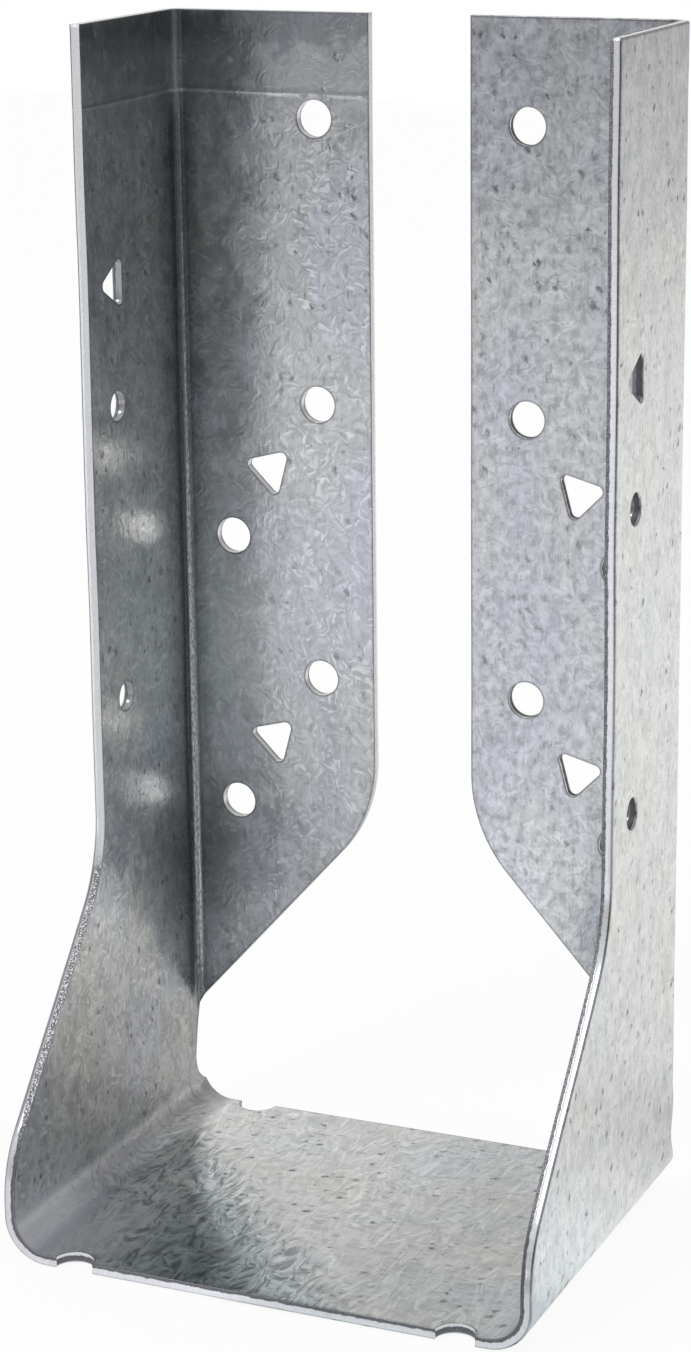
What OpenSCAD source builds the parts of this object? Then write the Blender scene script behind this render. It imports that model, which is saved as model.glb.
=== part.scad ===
// Joist hanger with concealed flanges, folded from one blank of galvanised sheet.
// X runs across the joist, Y points into the header and Z is up.
// The origin is the middle of the hanger's footprint, on the underside of its seat.

/* [Joist] */
// Clear width between the two side walls
joist_w = 79.4; // [76:0.1:100]
// Depth of the seat that the joist end bears on
seat_d = 63.5; // [56:0.5:90]
// Height of the side walls and flanges above the top of the seat
wall_h = 175.3; // [172:0.1:240]

/* [Sheet] */
// Thickness of the sheet
sheet_t = 1.7; // [1:0.1:2.4]
// Inside radius of the two folds between seat and side walls
seat_fold_r = 5; // [2:0.5:6]
// Inside radius of the two folds between side walls and flanges
flange_fold_r = 1.5; // [0.8:0.1:2.5]

/* [Side walls] */
// Depth of the narrow upper part of each wall, from the header face forward
wall_d = 31.5; // [28:0.5:40]
// Lean of the sloping front edge, in degrees from the vertical
slope_lean = 41; // [35:1:45]
// Height above the seat at which the slope would meet the front of the seat
toe_h = 13.2; // [12.2:0.1:16]
// Radius of the rounded toe, between the front of the seat and the slope
toe_r = 16; // [6:1:18]
// Radius of the hollow, between the slope and the upright front edge
throat_r = 21; // [5:1:30]

/* [Flanges] */
// Clear gap between the free edges of the two flanges
flange_gap = 16; // [12:0.5:20]
// Height above the seat at which the sloping foot of a flange meets its fold
foot_h = 18.7; // [17:0.1:24]
// Fall of the sloping foot, in degrees from the horizontal
foot_fall = 48; // [45:1:50]
// Radius between the sloping foot and the free edge
foot_r = 23; // [5:1:26]

/* [Fold relief] */
// Radius of the round cut behind each wall, just above the seat
relief_r = 6; // [5:0.5:7]
// How far that cut reaches forward of the header face
relief_d = 2.7; // [2:0.1:4]
// Height of the middle of the round cut above the seat
relief_h = 7.8; // [7:0.1:9]
// Distance from the header face to the tip of the ear that is left above the cut
ear_back = 1.1; // [0.6:0.1:1.8]
// Drop from the foot of the fold to the tip of that ear
ear_drop = 2.5; // [1:0.1:4]

/* [Seat notches] */
// Radius of the half-round notches in the front and back edges of the seat
notch_r = 3; // [1.5:0.1:3.4]
// Distance from the middle of a notch to the nearer side wall
notch_wall = 9.7; // [9.6:0.1:16]

/* [Face nail holes] */
// Diameter of the round holes for nails into the header
face_hole_d = 5.5; // [4:0.1:7]
// Vertical pitch of each column of face holes
face_pitch = 43; // [38:0.5:48]
// Drop from the top edge to the first holes
face_drop = 15.6; // [12:0.1:20]
// Distance from the free edge of a flange to its near column of holes
near_edge = 8.9; // [7:0.1:11]
// Distance from the side wall to the far column of holes
far_wall = 8.2; // [7.6:0.1:10]
// Distance from the side wall to the column of triangular holes
tri_wall = 14.5; // [13:0.1:17]

/* [Joist nail holes] */
// Diameter of the round holes for nails into the joist
joist_hole_d = 4.5; // [3.5:0.1:6]
// Distance of the joist holes behind the upright front edge of the wall
joist_setback = 8.3; // [7:0.1:12]
// Height of the lowest joist hole above the seat, on the left wall
joist_low_h = 74.2; // [68:0.1:84]
// Distance from the lower round hole up to the upper one
joist_pitch = 44.7; // [36:0.1:50]
// Distance from the upper round hole up to the triangular one
joist_tri_rise = 18.3; // [14:0.1:22]
// How much lower the holes of the right wall sit, so that its nails pass the others
stagger = 9.1; // [6:0.1:12]

/* [Triangular holes] */
// Distance from the middle of a triangle to the centre of each rounded corner
tri_reach = 2.8; // [2:0.1:3.4]
// Radius of the rounded corners
tri_r = 0.9; // [0.5:0.1:1.2]
// Tilt of the triangles in the flanges, in degrees above the horizontal
tri_tilt = 15; // [0:1:30]

/* [Hidden] */
$fn = 96;

sheet_colour = [0.73, 0.75, 0.76];
clear = 1; // overrun of every cutter past the sheet

half_in = joist_w / 2;                     // inner face of a wall
half_out = half_in + sheet_t;              // outer face of a wall
back = seat_d / 2;                         // header face
seat_top = sheet_t;
top = seat_top + wall_h;                   // upper edge of walls and flanges
bend_x = half_in - seat_fold_r;            // where the seat turns into its fold
bend_z = seat_top + seat_fold_r;           // where that fold turns into the wall
fold_y = back - sheet_t - flange_fold_r;   // where a wall turns into the fold of its flange
fold_x = half_in - flange_fold_r;          // where that fold turns into the flange
free_x = flange_gap / 2;                   // free edge of a flange

upright_y = back - wall_d;                 // upright front edge of a wall
toe = [-back, seat_top + toe_h];           // where the slope would meet the front of the seat
throat = [upright_y, toe[1] + (upright_y + back) / tan(slope_lean)];
fold_foot_z = seat_top + foot_h;
foot = [free_x, fold_foot_z + (fold_x - free_x) * tan(foot_fall)];
free_foot_z = foot[1] + foot_r * tan((90 - foot_fall) / 2);   // where the free edge turns straight

first_row = top - face_drop;
rows = 1 + floor((first_row - free_foot_z) / face_pitch);

// Unit vector in the plane at an angle
function dir(angle) = [cos(angle), sin(angle)];

// What lies between the arc of radius r and the two straight edges it touches, which leave
// a corner at angles a and b; it also overruns the corner, away from the arc
module corner_sliver(corner, a, b, r) {
    half = (b - a) / 2;
    reach = r / tan(half);
    centre = corner + r / sin(half) * dir(a + half);
    difference() {
        polygon([corner - clear * dir(a + half), corner + reach * dir(a), centre,
                 corner + reach * dir(b)]);
        translate(centre) circle(r);
    }
}

// Stands a drawing of the YZ plane up and pushes it along X, from x to x + depth
module along_x(x, depth)
    translate([x, 0, 0]) rotate([90, 0, 90]) linear_extrude(depth) children();

// Stands a drawing of the XZ plane up and pushes it along Y, from y to y + depth
module along_y(y, depth)
    translate([0, y + depth, 0]) rotate([90, 0, 0]) linear_extrude(depth) children();

// A quarter of a ring in the first quadrant: the section of a right-angled fold
module fold_section(inner_r)
    intersection() {
        difference() {
            circle(inner_r + sheet_t);
            circle(inner_r);
        }
        square(inner_r + sheet_t);
    }

// Side view of a wall: a full-depth foot, a sloping front edge and a narrow upright
module wall_outline() {
    difference() {
        polygon([[-back, bend_z], [back, bend_z], [back, fold_foot_z], [fold_y, fold_foot_z],
                 [fold_y, top], [upright_y, top], throat, toe]);
        corner_sliver(toe, -90, 90 - slope_lean, toe_r);
    }
    corner_sliver(throat, 90, 270 - slope_lean, throat_r);
}

// Front view of the right-hand flange: a free edge that rounds into a sloping foot
module flange_outline()
    difference() {
        polygon([[free_x, top], foot, [fold_x, fold_foot_z], [fold_x, top]]);
        corner_sliver(foot, -foot_fall, 90, foot_r);
    }

// Side view of the relief behind a wall, which parts the fold of the flange from the seat
module relief_outline() {
    deepest = back - relief_d;
    behind = back + clear;
    middle = seat_top + relief_h;
    translate([deepest + relief_r, middle]) circle(relief_r);
    polygon([[deepest, middle], [back - ear_back, fold_foot_z - ear_drop],
             [fold_y, fold_foot_z], [behind, fold_foot_z], [behind, middle]]);
}

// A triangle with rounded corners, one of them pointing along +X
module tri_outline() {
    corners = [0, 120, 240];
    edges = [-60, 60];
    polygon([for (corner = corners, edge = edges)
             tri_reach * dir(corner) + tri_r * dir(corner + edge)]);
    for (corner = corners)
        translate(tri_reach * dir(corner)) circle(tri_r);
}

// Flat seat between its two folds
module seat()
    translate([-bend_x, -back, 0]) cube([2 * bend_x, seat_d, sheet_t]);

// Right-hand half of the folded sheet, without the seat and without any hole
module side() {
    along_y(-back, seat_d)
        translate([bend_x, bend_z]) mirror([0, 1]) fold_section(seat_fold_r);
    along_x(half_in, sheet_t) wall_outline();
    translate([fold_x, fold_y, fold_foot_z])
        linear_extrude(top - fold_foot_z) fold_section(flange_fold_r);
    along_y(back - sheet_t, sheet_t) flange_outline();
}

// Half-round notches in the front and back edges of the seat
module seat_notches()
    for (x = [-1, 1], y = [-1, 1])
        translate([x * (half_in - notch_wall), y * back, -clear])
            cylinder(r = notch_r, h = sheet_t + 2 * clear);

// Holes of the right-hand flange: a full column near the free edge, a column half a pitch
// lower near the wall, and a triangle between each neighbouring pair
module face_holes()
    along_y(back - sheet_t - clear, sheet_t + 2 * clear) {
        for (row = [0:rows - 1])
            translate([free_x + near_edge, first_row - row * face_pitch]) circle(d = face_hole_d);
        for (row = [1:rows - 1]) {
            translate([half_in - far_wall, first_row - (row + 1 / 2) * face_pitch])
                circle(d = face_hole_d);
            translate([half_in - tri_wall, first_row - (row + 1 / 4) * face_pitch])
                rotate(tri_tilt) tri_outline();
        }
    }

// Holes of the right-hand wall, lowered by drop: two round ones and a triangle above
module joist_holes(drop)
    along_x(half_in - clear, sheet_t + 2 * clear)
        translate([upright_y + joist_setback, seat_top + joist_low_h - drop]) {
            circle(d = joist_hole_d);
            translate([0, joist_pitch]) circle(d = joist_hole_d);
            translate([0, joist_pitch + joist_tri_rise]) rotate(180) tri_outline();
        }

// The whole hanger, one folded sheet
module hanger()
    color(sheet_colour)
        difference() {
            union() {
                seat();
                side();
                mirror([1, 0, 0]) side();
            }
            seat_notches();
            along_x(-half_out - clear, 2 * (half_out + clear)) relief_outline();
            face_holes();
            mirror([1, 0, 0]) face_holes();
            joist_holes(stagger);
            mirror([1, 0, 0]) joist_holes(0);
        }

hanger();
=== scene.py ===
import bpy, math
import numpy as np
from types import SimpleNamespace
from mathutils import Matrix, Vector
from mathutils.geometry import delaunay_2d_cdt


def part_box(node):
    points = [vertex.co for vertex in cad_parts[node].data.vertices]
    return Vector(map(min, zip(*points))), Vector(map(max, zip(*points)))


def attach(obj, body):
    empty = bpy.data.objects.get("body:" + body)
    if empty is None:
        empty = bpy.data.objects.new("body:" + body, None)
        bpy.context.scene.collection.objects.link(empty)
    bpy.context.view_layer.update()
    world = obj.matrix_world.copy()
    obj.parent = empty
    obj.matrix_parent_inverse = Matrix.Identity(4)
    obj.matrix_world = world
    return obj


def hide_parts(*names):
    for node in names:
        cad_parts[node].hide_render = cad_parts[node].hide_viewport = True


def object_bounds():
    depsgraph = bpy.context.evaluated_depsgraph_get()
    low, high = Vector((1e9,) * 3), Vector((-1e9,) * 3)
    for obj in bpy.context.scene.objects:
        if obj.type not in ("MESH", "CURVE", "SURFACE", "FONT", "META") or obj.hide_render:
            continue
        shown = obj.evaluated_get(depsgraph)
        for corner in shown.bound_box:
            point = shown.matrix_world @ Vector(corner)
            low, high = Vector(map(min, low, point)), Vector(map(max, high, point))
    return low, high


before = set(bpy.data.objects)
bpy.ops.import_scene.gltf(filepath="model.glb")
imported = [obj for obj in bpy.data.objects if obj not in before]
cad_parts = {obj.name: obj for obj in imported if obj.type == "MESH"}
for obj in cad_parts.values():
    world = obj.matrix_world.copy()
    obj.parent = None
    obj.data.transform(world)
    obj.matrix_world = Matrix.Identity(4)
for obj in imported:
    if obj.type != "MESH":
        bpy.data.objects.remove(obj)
cadLow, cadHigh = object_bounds()
cadLow, cadHigh = list(cadLow), list(cadHigh)
hangerLow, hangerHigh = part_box("hanger")
scene = bpy.context.scene
print("stage: frame loaded", [round(1000 * (h - l), 2) for l, h in zip(cadLow, cadHigh)])

mm = 0.001


def addObject(name, data):
    made = bpy.data.objects.new(name, data)
    scene.collection.objects.link(made)
    return made


# the folded sheet: every size in millimetres, heights above the seat's top
sheet = {
    "thickness": 1.7, "seatFold": 5.0, "flangeFold": 1.5,
    "wallDepth": 31.5, "slopeLean": 41.0, "toeHeight": 13.2, "toeRadius": 16.0, "throatRadius": 21.0,
    "flangeGap": 16.0, "footHeight": 18.7, "footFall": 48.0, "footRadius": 23.0,
    "reliefRadius": 6.0, "reliefDepth": 2.7, "reliefHeight": 7.8, "earBack": 1.1,
    "notchRadius": 3.0, "notchWall": 9.7,
    "faceHole": 5.5, "facePitch": 43.0, "faceDrop": 15.6, "nearEdge": 8.9, "farWall": 8.2, "triWall": 14.5,
    "joistHole": 4.5, "joistSetback": 8.3, "joistLow": 74.2, "joistPitch": 44.7, "joistTriRise": 18.3,
    "stagger": 9.1, "triReach": 2.8, "triRound": 0.9, "triTilt": 15.0,
    "witnessDrop": 12.1, "witnessBow": 0.5,
    "foldEase": 6.0, "edgeStep": 0.7, "arcStep": 0.45, "gridStep": 1.5,
}


def unitAt(degrees):
    return np.array([math.cos(math.radians(degrees)), math.sin(math.radians(degrees))])


# sizes that follow from the dictionary and from the frame, all in millimetres
t = sheet["thickness"]
halfOut, back, top = hangerHigh[0] / mm, hangerHigh[1] / mm, hangerHigh[2] / mm
halfIn = halfOut - t
bendX, bendZ = halfIn - sheet["seatFold"], t + sheet["seatFold"]
seatBend = (sheet["seatFold"] + t / 2) * math.pi / 2        # length of the seat fold in the flat blank
flangeBend = (sheet["flangeFold"] + t / 2) * math.pi / 2    # length of the flange fold in the flat blank
wallStart = bendX + seatBend
foldY, foldX = back - t - sheet["flangeFold"], halfIn - sheet["flangeFold"]
flangeStart = foldY + flangeBend
freeY = flangeStart + foldX - sheet["flangeGap"] / 2        # free edge of a flange in the blank
topS = wallStart + top - bendZ
witnessS = topS - sheet["witnessDrop"]


# distance along the blank, from the middle of the seat, of a point at height z on a wall or its fold
def heightToBlank(z):
    z = np.asarray(z, float)
    turn = np.arccos(np.clip((bendZ - z) / (sheet["seatFold"] + t / 2), 0, 1))
    return np.where(z >= bendZ, wallStart + z - bendZ, bendX + turn * (sheet["seatFold"] + t / 2))


def linePoints(a, b, step):
    a, b = np.array(a, float), np.array(b, float)
    count = max(1, int(math.ceil(np.linalg.norm(b - a) / step)))
    return a + (b - a) * (np.arange(count) / count)[:, None]


def arcPoints(centre, radius, start, end, step):
    count = max(2, int(math.ceil(abs(math.radians(end - start)) * radius / step)))
    turn = np.radians(start + (end - start) * np.arange(count) / count)
    return np.array(centre) + radius * np.stack([np.cos(turn), np.sin(turn)], 1)


# a corner whose edges leave it at angles a and b, rounded by an arc of radius r: the arc's centre, and how
# far from the corner it touches the edges
def roundedCorner(corner, a, b, r):
    half = (b - a) / 2
    centre = np.array(corner) + r / math.sin(math.radians(half)) * unitAt(a + half)
    return centre, r / math.tan(math.radians(half))


# right half of the blank's outline as (s, y): s runs up the wall, y into the header
def halfOutline():
    step, arcStep = sheet["edgeStep"], sheet["arcStep"]
    notchX, notchR = halfIn - sheet["notchWall"], sheet["notchRadius"]
    lean, fall = sheet["slopeLean"], sheet["footFall"]
    uprightY = back - sheet["wallDepth"]
    toe = np.array([-back, t + sheet["toeHeight"]])
    throat = np.array([uprightY, toe[1] + (uprightY + back) / math.tan(math.radians(lean))])
    seatFront = [linePoints((0, -back), (notchX - notchR, -back), step),
                 arcPoints((notchX, -back), notchR, 180, 0, arcStep),
                 linePoints((notchX + notchR, -back), (bendX, -back), step)]
    # side view in (y, z), turned into (s, y) below
    toeCentre, toeReach = roundedCorner(toe, -90, 90 - lean, sheet["toeRadius"])
    throatCentre, throatReach = roundedCorner(throat, 90, 270 - lean, sheet["throatRadius"])
    toeLow = toe - [0, toeReach]
    throatLow = throat + throatReach * unitAt(270 - lean)
    toeHigh = toe + toeReach * unitAt(90 - lean)
    side = [linePoints((-back, bendZ), toeLow, step),
            arcPoints(toeCentre, sheet["toeRadius"], 180, 180 - lean, arcStep),
            linePoints(toeHigh, throatLow, step),
            arcPoints(throatCentre, sheet["throatRadius"], -lean, 0, arcStep),
            linePoints(throat + [0, throatReach], (uprightY, top), step)]
    side = np.concatenate(side)
    wallFront = np.stack([heightToBlank(side[:, 1]), side[:, 0]], 1)
    foldFront = linePoints((bendX, -back), (wallStart, -back), step)
    topEdge = [linePoints((topS, uprightY), (topS, foldY), step),
               linePoints((topS, foldY), (topS, flangeStart), arcStep),
               linePoints((topS, flangeStart), (topS, freeY), step)]
    # flange in (distance down the free side, height): the foot in blank coordinates (y, z)
    footZ = t + sheet["footHeight"]
    slope = math.tan(math.radians(fall))
    foot = np.array([freeY, footZ + (freeY - flangeStart) * slope])
    footCentre, footReach = roundedCorner(foot, 90, 180 + fall, sheet["footRadius"])
    deepest, middle = back - sheet["reliefDepth"], t + sheet["reliefHeight"]
    earY = back - sheet["earBack"]
    earTip = np.array([earY, footZ - (flangeStart - earY) * slope])
    reliefR = sheet["reliefRadius"]
    reliefCentre = (deepest + reliefR, middle)
    lowTurn = 180 + math.degrees(math.acos((deepest + reliefR - back) / reliefR))
    flange = [linePoints((freeY, top), foot + [0, footReach], step),
              arcPoints(footCentre, sheet["footRadius"], 0, fall - 90, arcStep),
              linePoints(foot + footReach * unitAt(180 + fall), earTip, step),
              linePoints(earTip, (deepest, middle), arcStep),
              arcPoints(reliefCentre, reliefR, 180, lowTurn, arcStep)]
    flange = np.concatenate(flange)
    flange = np.stack([heightToBlank(flange[:, 1]), flange[:, 0]], 1)
    lowEnd = middle + reliefR * math.sin(math.radians(lowTurn))
    lowS = float(heightToBlank(lowEnd))
    seatBack = [linePoints((lowS, back), (notchX + notchR, back), step),
                arcPoints((notchX, back), notchR, 0, -180, arcStep),
                linePoints((notchX - notchR, back), (0, back), step)]
    return np.concatenate([*seatFront, foldFront, wallFront, *topEdge, flange, *seatBack])


def roundHole(centre, diameter):
    return arcPoints(centre, diameter / 2, 0, -360, sheet["arcStep"])


# a rounded triangle with one corner towards the angle tilt
def triHole(centre, tilt):
    parts = []
    for corner in (0, -120, -240):
        middle = np.array(centre) + sheet["triReach"] * unitAt(tilt + corner)
        nextMiddle = np.array(centre) + sheet["triReach"] * unitAt(tilt + corner - 120)
        parts.append(arcPoints(middle, sheet["triRound"], tilt + corner + 60, tilt + corner - 60, 0.25))
        edge = sheet["triRound"] * unitAt(tilt + corner - 60)
        parts.append(linePoints(middle + edge, nextMiddle + edge, 0.5))
    return np.concatenate(parts)


# holes of one half of the blank, in (s, y); drop lowers the joist holes
def halfHoles(drop):
    holes = []
    first = topS - sheet["faceDrop"]
    nearY, farY = freeY - sheet["nearEdge"], flangeStart + foldX - (halfIn - sheet["farWall"])
    triY = flangeStart + foldX - (halfIn - sheet["triWall"])
    pitch = sheet["facePitch"]
    for row in range(3):
        holes.append(roundHole((first - row * pitch, nearY), sheet["faceHole"]))
    for row in (1, 2):
        holes.append(roundHole((first - (row + 0.5) * pitch, farY), sheet["faceHole"]))
        holes.append(triHole((first - (row + 0.25) * pitch, triY), -90 + sheet["triTilt"]))
    y = back - sheet["wallDepth"] + sheet["joistSetback"]
    low = wallStart + t + sheet["joistLow"] - drop - bendZ
    holes.append(roundHole((low, y), sheet["joistHole"]))
    holes.append(roundHole((low + sheet["joistPitch"], y), sheet["joistHole"]))
    holes.append(triHole((low + sheet["joistPitch"] + sheet["joistTriRise"], y), -90))
    return holes


# the left half mirrors s, which also turns the loop's direction, so its order is reversed
def mirrored(loop):
    return (loop * [-1, 1])[::-1]


rightHalf = halfOutline()
outline = np.concatenate([rightHalf, [[0, back]], mirrored(rightHalf)[:-1]])
loops = [outline] + halfHoles(sheet["stagger"]) + [mirrored(h) for h in halfHoles(0)]
print("stage: outline", len(outline), "points and", len(loops) - 1, "holes")


# unit normals of a closed loop, pointing away from the metal: the tangent turned by a quarter
def loopNormals(loop):
    tangent = np.roll(loop, -1, 0) - np.roll(loop, 1, 0)
    tangent /= np.linalg.norm(tangent, axis=1)[:, None]
    return np.stack([tangent[:, 1], -tangent[:, 0]], 1)


# the outline runs anticlockwise round the metal and the holes clockwise, so one rule serves both
def signedArea(loop):
    nextLoop = np.roll(loop, -1, 0)
    return 0.5 * np.sum(loop[:, 0] * nextLoop[:, 1] - nextLoop[:, 0] * loop[:, 1])


loops = [l if (signedArea(l) > 0) == (i == 0) else l[::-1] for i, l in enumerate(loops)]


# value noise on a plane, from sines of mixed directions; cheap, smooth and always the same
def waves(a, b, size, seed):
    rng = np.random.default_rng(seed)
    total = np.zeros_like(a)
    count = 9
    turns, phases = rng.uniform(0, np.pi, count), rng.uniform(0, 2 * np.pi, count)
    for turn, phase, stretch in zip(turns, phases, rng.uniform(0.6, 1.6, count)):
        total += np.sin((a * np.cos(turn) + b * np.sin(turn)) * 2 * np.pi / (size * stretch) + phase)
    return total / 3


# cut edge, from the inner face round to the outer face: (distance past the cut line, height in the sheet)
# a sharp upper rim, a torn zone that leans back, a straight burnished zone and a wide rolled rim
cutEdge = np.array([
    (-0.50, 0.850), (-0.14, 0.852), (-0.05, 0.840), (-0.02, 0.800), (-0.03, 0.66), (-0.06, 0.46),
    (-0.055, 0.26), (-0.015, 0.06), (0.0, -0.10), (0.0, -0.40), (-0.012, -0.53), (-0.05, -0.65),
    (-0.12, -0.745), (-0.21, -0.805), (-0.33, -0.84), (-0.50, -0.850)])


# folds flat blank points (s, y, n) into place: y past the fold line turns about an upright axis, then s past
# the end of the seat about a level one; n is the height in the sheet, positive on the inside of the folds
def foldSheet(s, y, n):
    side, a = np.where(s < 0, -1.0, 1.0), np.abs(s)
    rise = np.maximum(a - wallStart, 0)
    held = np.clip(rise / sheet["foldEase"] - 1, 0, 1)
    held = held * held * (3 - 2 * held)
    turnF = np.clip((y - foldY) / flangeBend, 0, 1) * np.pi / 2
    radiusF = sheet["flangeFold"] + t / 2 - n
    depthBent = np.minimum(y, foldY) + radiusF * np.sin(turnF)
    inwardBent = sheet["flangeFold"] - radiusF * np.cos(turnF) + np.maximum(y - flangeStart, 0)
    depth = y + (depthBent - y) * held
    inward = (n - t / 2) + (inwardBent - (n - t / 2)) * held
    turnS = np.clip((a - bendX) / seatBend, 0, 1) * np.pi / 2
    radiusS = sheet["seatFold"] - inward
    x = np.minimum(a, bendX) + radiusS * np.sin(turnS)
    z = bendZ - radiusS * np.cos(turnS) + rise
    return np.stack([side * x, depth, z], -1)


# small unevenness of the pressed sheet, as a height along n: soft waves, a low ridge where the tool's edge
# pressed, and the strip beyond it a little lower
def relief(s, y):
    a = np.abs(s)
    away = np.clip((a - bendX) / 20, 0, 1)
    wavy = 0.035 * waves(s, y, 34, 4) * away + 0.006 * waves(s, y, 9, 8)
    line = a - witnessS - sheet["witnessBow"] * np.exp(-((y - flangeStart) / 12) ** 2)
    ridge = 0.05 * np.exp(-(line / 0.3) ** 2)
    step = 0.03 / (1 + np.exp(-np.clip(line, -9, 9) / 0.25))
    return wavy + (ridge - step) * (s < 0)


def placed(s, y, n):
    return foldSheet(s, y, n + relief(s, y))


# a direction given along s, y and n at a blank point, turned into the folded sheet's frame; the three axes
# come from small steps of the fold, so the relief tilts them too
def placedNormals(s, y, n, along):
    h = 0.01
    here = placed(s, y, n)
    axisS, axisY, axisN = placed(s + h, y, n) - here, placed(s, y + h, n) - here, placed(s, y, n + h) - here
    axes = np.cross(axisY, axisN), np.cross(axisN, axisS), np.cross(axisS, axisY)
    out = sum(along[:, i, None] * v / np.linalg.norm(v, axis=1)[:, None] for i, v in enumerate(axes))
    return out / np.linalg.norm(out, axis=1)[:, None]


# True for points inside the metal: each crossing of a ray towards +s with a loop's edges flips the answer
def insideMetal(points, shapes):
    inside = np.zeros(len(points), bool)
    for loop in shapes:
        ax, ay = loop.T
        bx, by = np.roll(loop, -1, 0).T
        near = (points[:, 0] < ax.max()) & (points[:, 1] > ay.min()) & (points[:, 1] < ay.max())
        px, py = points[near, 0][:, None], points[near, 1][:, None]
        span = np.where(by == ay, 1e-12, by - ay)
        crosses = ((ay > py) != (by > py)) & (px < (bx - ax) * (py - ay) / span + ax)
        inside[near] ^= crosses.sum(1) % 2 == 1
    return inside


# distance of each point to the nearest point of the loops, in slices to save memory
def rimDistance(points, rim):
    nearest = np.empty(len(points))
    for start in range(0, len(points), 2000):
        block = points[start:start + 2000]
        nearest[start:start + 2000] = np.sqrt(((block[:, None, :] - rim[None]) ** 2).sum(2).min(1))
    return nearest


# lines of the grid between two values, no further apart than step
def ticks(a, b, step):
    count = max(1, int(math.ceil((b - a) / step)))
    return a + (b - a) * np.arange(count) / count


# flat points of a face: the cut line's rim first, then the grid inside it; away is the distance to the rim
def facePoints(inset):
    step, nearLine = sheet["gridStep"], np.arange(-1.0, 1.5, 0.25)
    half = np.concatenate([ticks(0, bendX, step), ticks(bendX, wallStart, seatBend / 14),
                           ticks(wallStart, witnessS - 1.0, step), witnessS + nearLine,
                           ticks(witnessS + 1.5, topS, step)])
    across = np.concatenate([ticks(-back, foldY, step), ticks(foldY, flangeStart, flangeBend / 10),
                             ticks(flangeStart, freeY, step)])
    lines = np.concatenate([-half[:0:-1], half])
    grid = np.stack(np.meshgrid(lines, across, indexing="ij"), -1).reshape(-1, 2)
    rim = np.concatenate(inset)
    grid = grid[insideMetal(grid, inset)]
    away = rimDistance(grid, rim)
    crowded = 0.30 + 0.30 * (np.abs(grid[:, 0]) < topS)
    grid, away = grid[away > crowded], away[away > crowded]
    return np.concatenate([rim, grid]), away


# triangles over the flat points, each turned the same way, with none across a hole
def faceTriangles(points, inset):
    edges, start = [], 0
    for l in inset:
        index = start + np.arange(len(l))
        edges += list(zip(index.tolist(), np.roll(index, -1).tolist()))
        start += len(l)
    newPoints, _, triangles, oldOf, _, _ = delaunay_2d_cdt([Vector(p) for p in points], edges, [], 0, 1e-6)
    source = np.array([o[0] if o else -1 for o in oldOf])
    if len(newPoints) != len(points) or (source < 0).any():
        print("note: the triangulation merged or added points", len(points), len(newPoints))
    triangles = source[np.array(triangles)]
    triangles = triangles[insideMetal(points[triangles].mean(1), inset)]
    a, b, c = (points[triangles[:, i]] for i in range(3))
    turn = (b[:, 0] - a[:, 0]) * (c[:, 1] - a[:, 1]) - (b[:, 1] - a[:, 1]) * (c[:, 0] - a[:, 0])
    triangles[turn < 0] = triangles[turn < 0][:, ::-1]
    return triangles[np.abs(turn) > 1e-7]


# flat vertices (s, y, n) and their directions: inner face, rings of the cut edge with a rough torn zone, then
# outer face
def sheetVertices(points, cut):
    rimCount, faceCount = len(cut), len(points)
    outward = np.concatenate([loopNormals(l) for l in loops])
    rng = np.random.default_rng(3)
    torn = np.clip((0.72 - cutEdge[:, 1]) / 0.15, 0, 1) * np.clip((cutEdge[:, 1] + 0.05) / 0.15, 0, 1)
    slope = np.gradient(cutEdge, axis=0)
    lean = np.stack([-slope[:, 1], slope[:, 0]], 1)
    lean /= np.linalg.norm(lean, axis=1)[:, None]
    flat = [np.column_stack([points, np.full(faceCount, t / 2)])]
    along = [np.tile([0.0, 0.0, 1.0], (faceCount, 1))]
    for k in range(1, len(cutEdge) - 1):
        rough = torn[k] * (0.03 * rng.standard_normal(rimCount) - 0.01)
        past, height = cutEdge[k]
        flat.append(np.column_stack([cut + outward * (past + rough)[:, None], np.full(rimCount, height)]))
        along.append(np.column_stack([outward * lean[k, 0], np.full(rimCount, lean[k, 1])]))
    flat.append(np.column_stack([points, np.full(faceCount, -t / 2)]))
    along.append(np.tile([0.0, 0.0, -1.0], (faceCount, 1)))
    return np.concatenate(flat), np.concatenate(along)


# quads of the cut edge between neighbouring rings, and which of them count as cut face; firstOf is the first
# vertex of each ring
def cutQuads(firstOf):
    quads, onCut, start = [], [], 0
    for l in loops:
        here = start + np.arange(len(l))
        there = np.roll(here, -1)
        for k in range(len(cutEdge) - 1):
            up, down = firstOf[k], firstOf[k + 1]
            quads.append(np.stack([down + here, down + there, up + there, up + here], 1))
            onCut.append(np.full(len(l), 3 <= k <= 9))
        start += len(l)
    return np.concatenate(quads), np.concatenate(onCut).astype(np.int32)


# what the materials read: the place in the blank, the distance to the rim and whether the edge was punched
def addAttributes(mesh, flat, cut, away, gridCount):
    rings, rimCount = len(cutEdge), len(cut)
    blank = mesh.attributes.new("blank", "FLOAT_VECTOR", "POINT")
    blank.data.foreach_set("vector", flat.ravel().astype(np.float32))
    rimValue = np.concatenate([np.full(rimCount, -cutEdge[0, 0]), away])
    rimAll = np.concatenate([rimValue, np.repeat(-cutEdge[1:-1, 0], rimCount), rimValue])
    punchedRim = np.concatenate([np.full(len(l), float(i > 0)) for i, l in enumerate(loops)])
    notchX = halfIn - sheet["notchWall"]
    inNotch = (np.abs(np.abs(cut[:, 0]) - notchX) < sheet["notchRadius"]) & (np.abs(cut[:, 1]) < back - 0.05)
    punchedRim[inNotch] = 1
    punchedFace = np.concatenate([punchedRim, np.zeros(gridCount)])
    punched = np.concatenate([punchedFace, np.tile(punchedRim, rings - 2), punchedFace])
    for name, values in (("rim", np.clip(rimAll, 0, 8)), ("punched", punched)):
        mesh.attributes.new(name, "FLOAT", "POINT").data.foreach_set("value", values.astype(np.float32))


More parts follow.
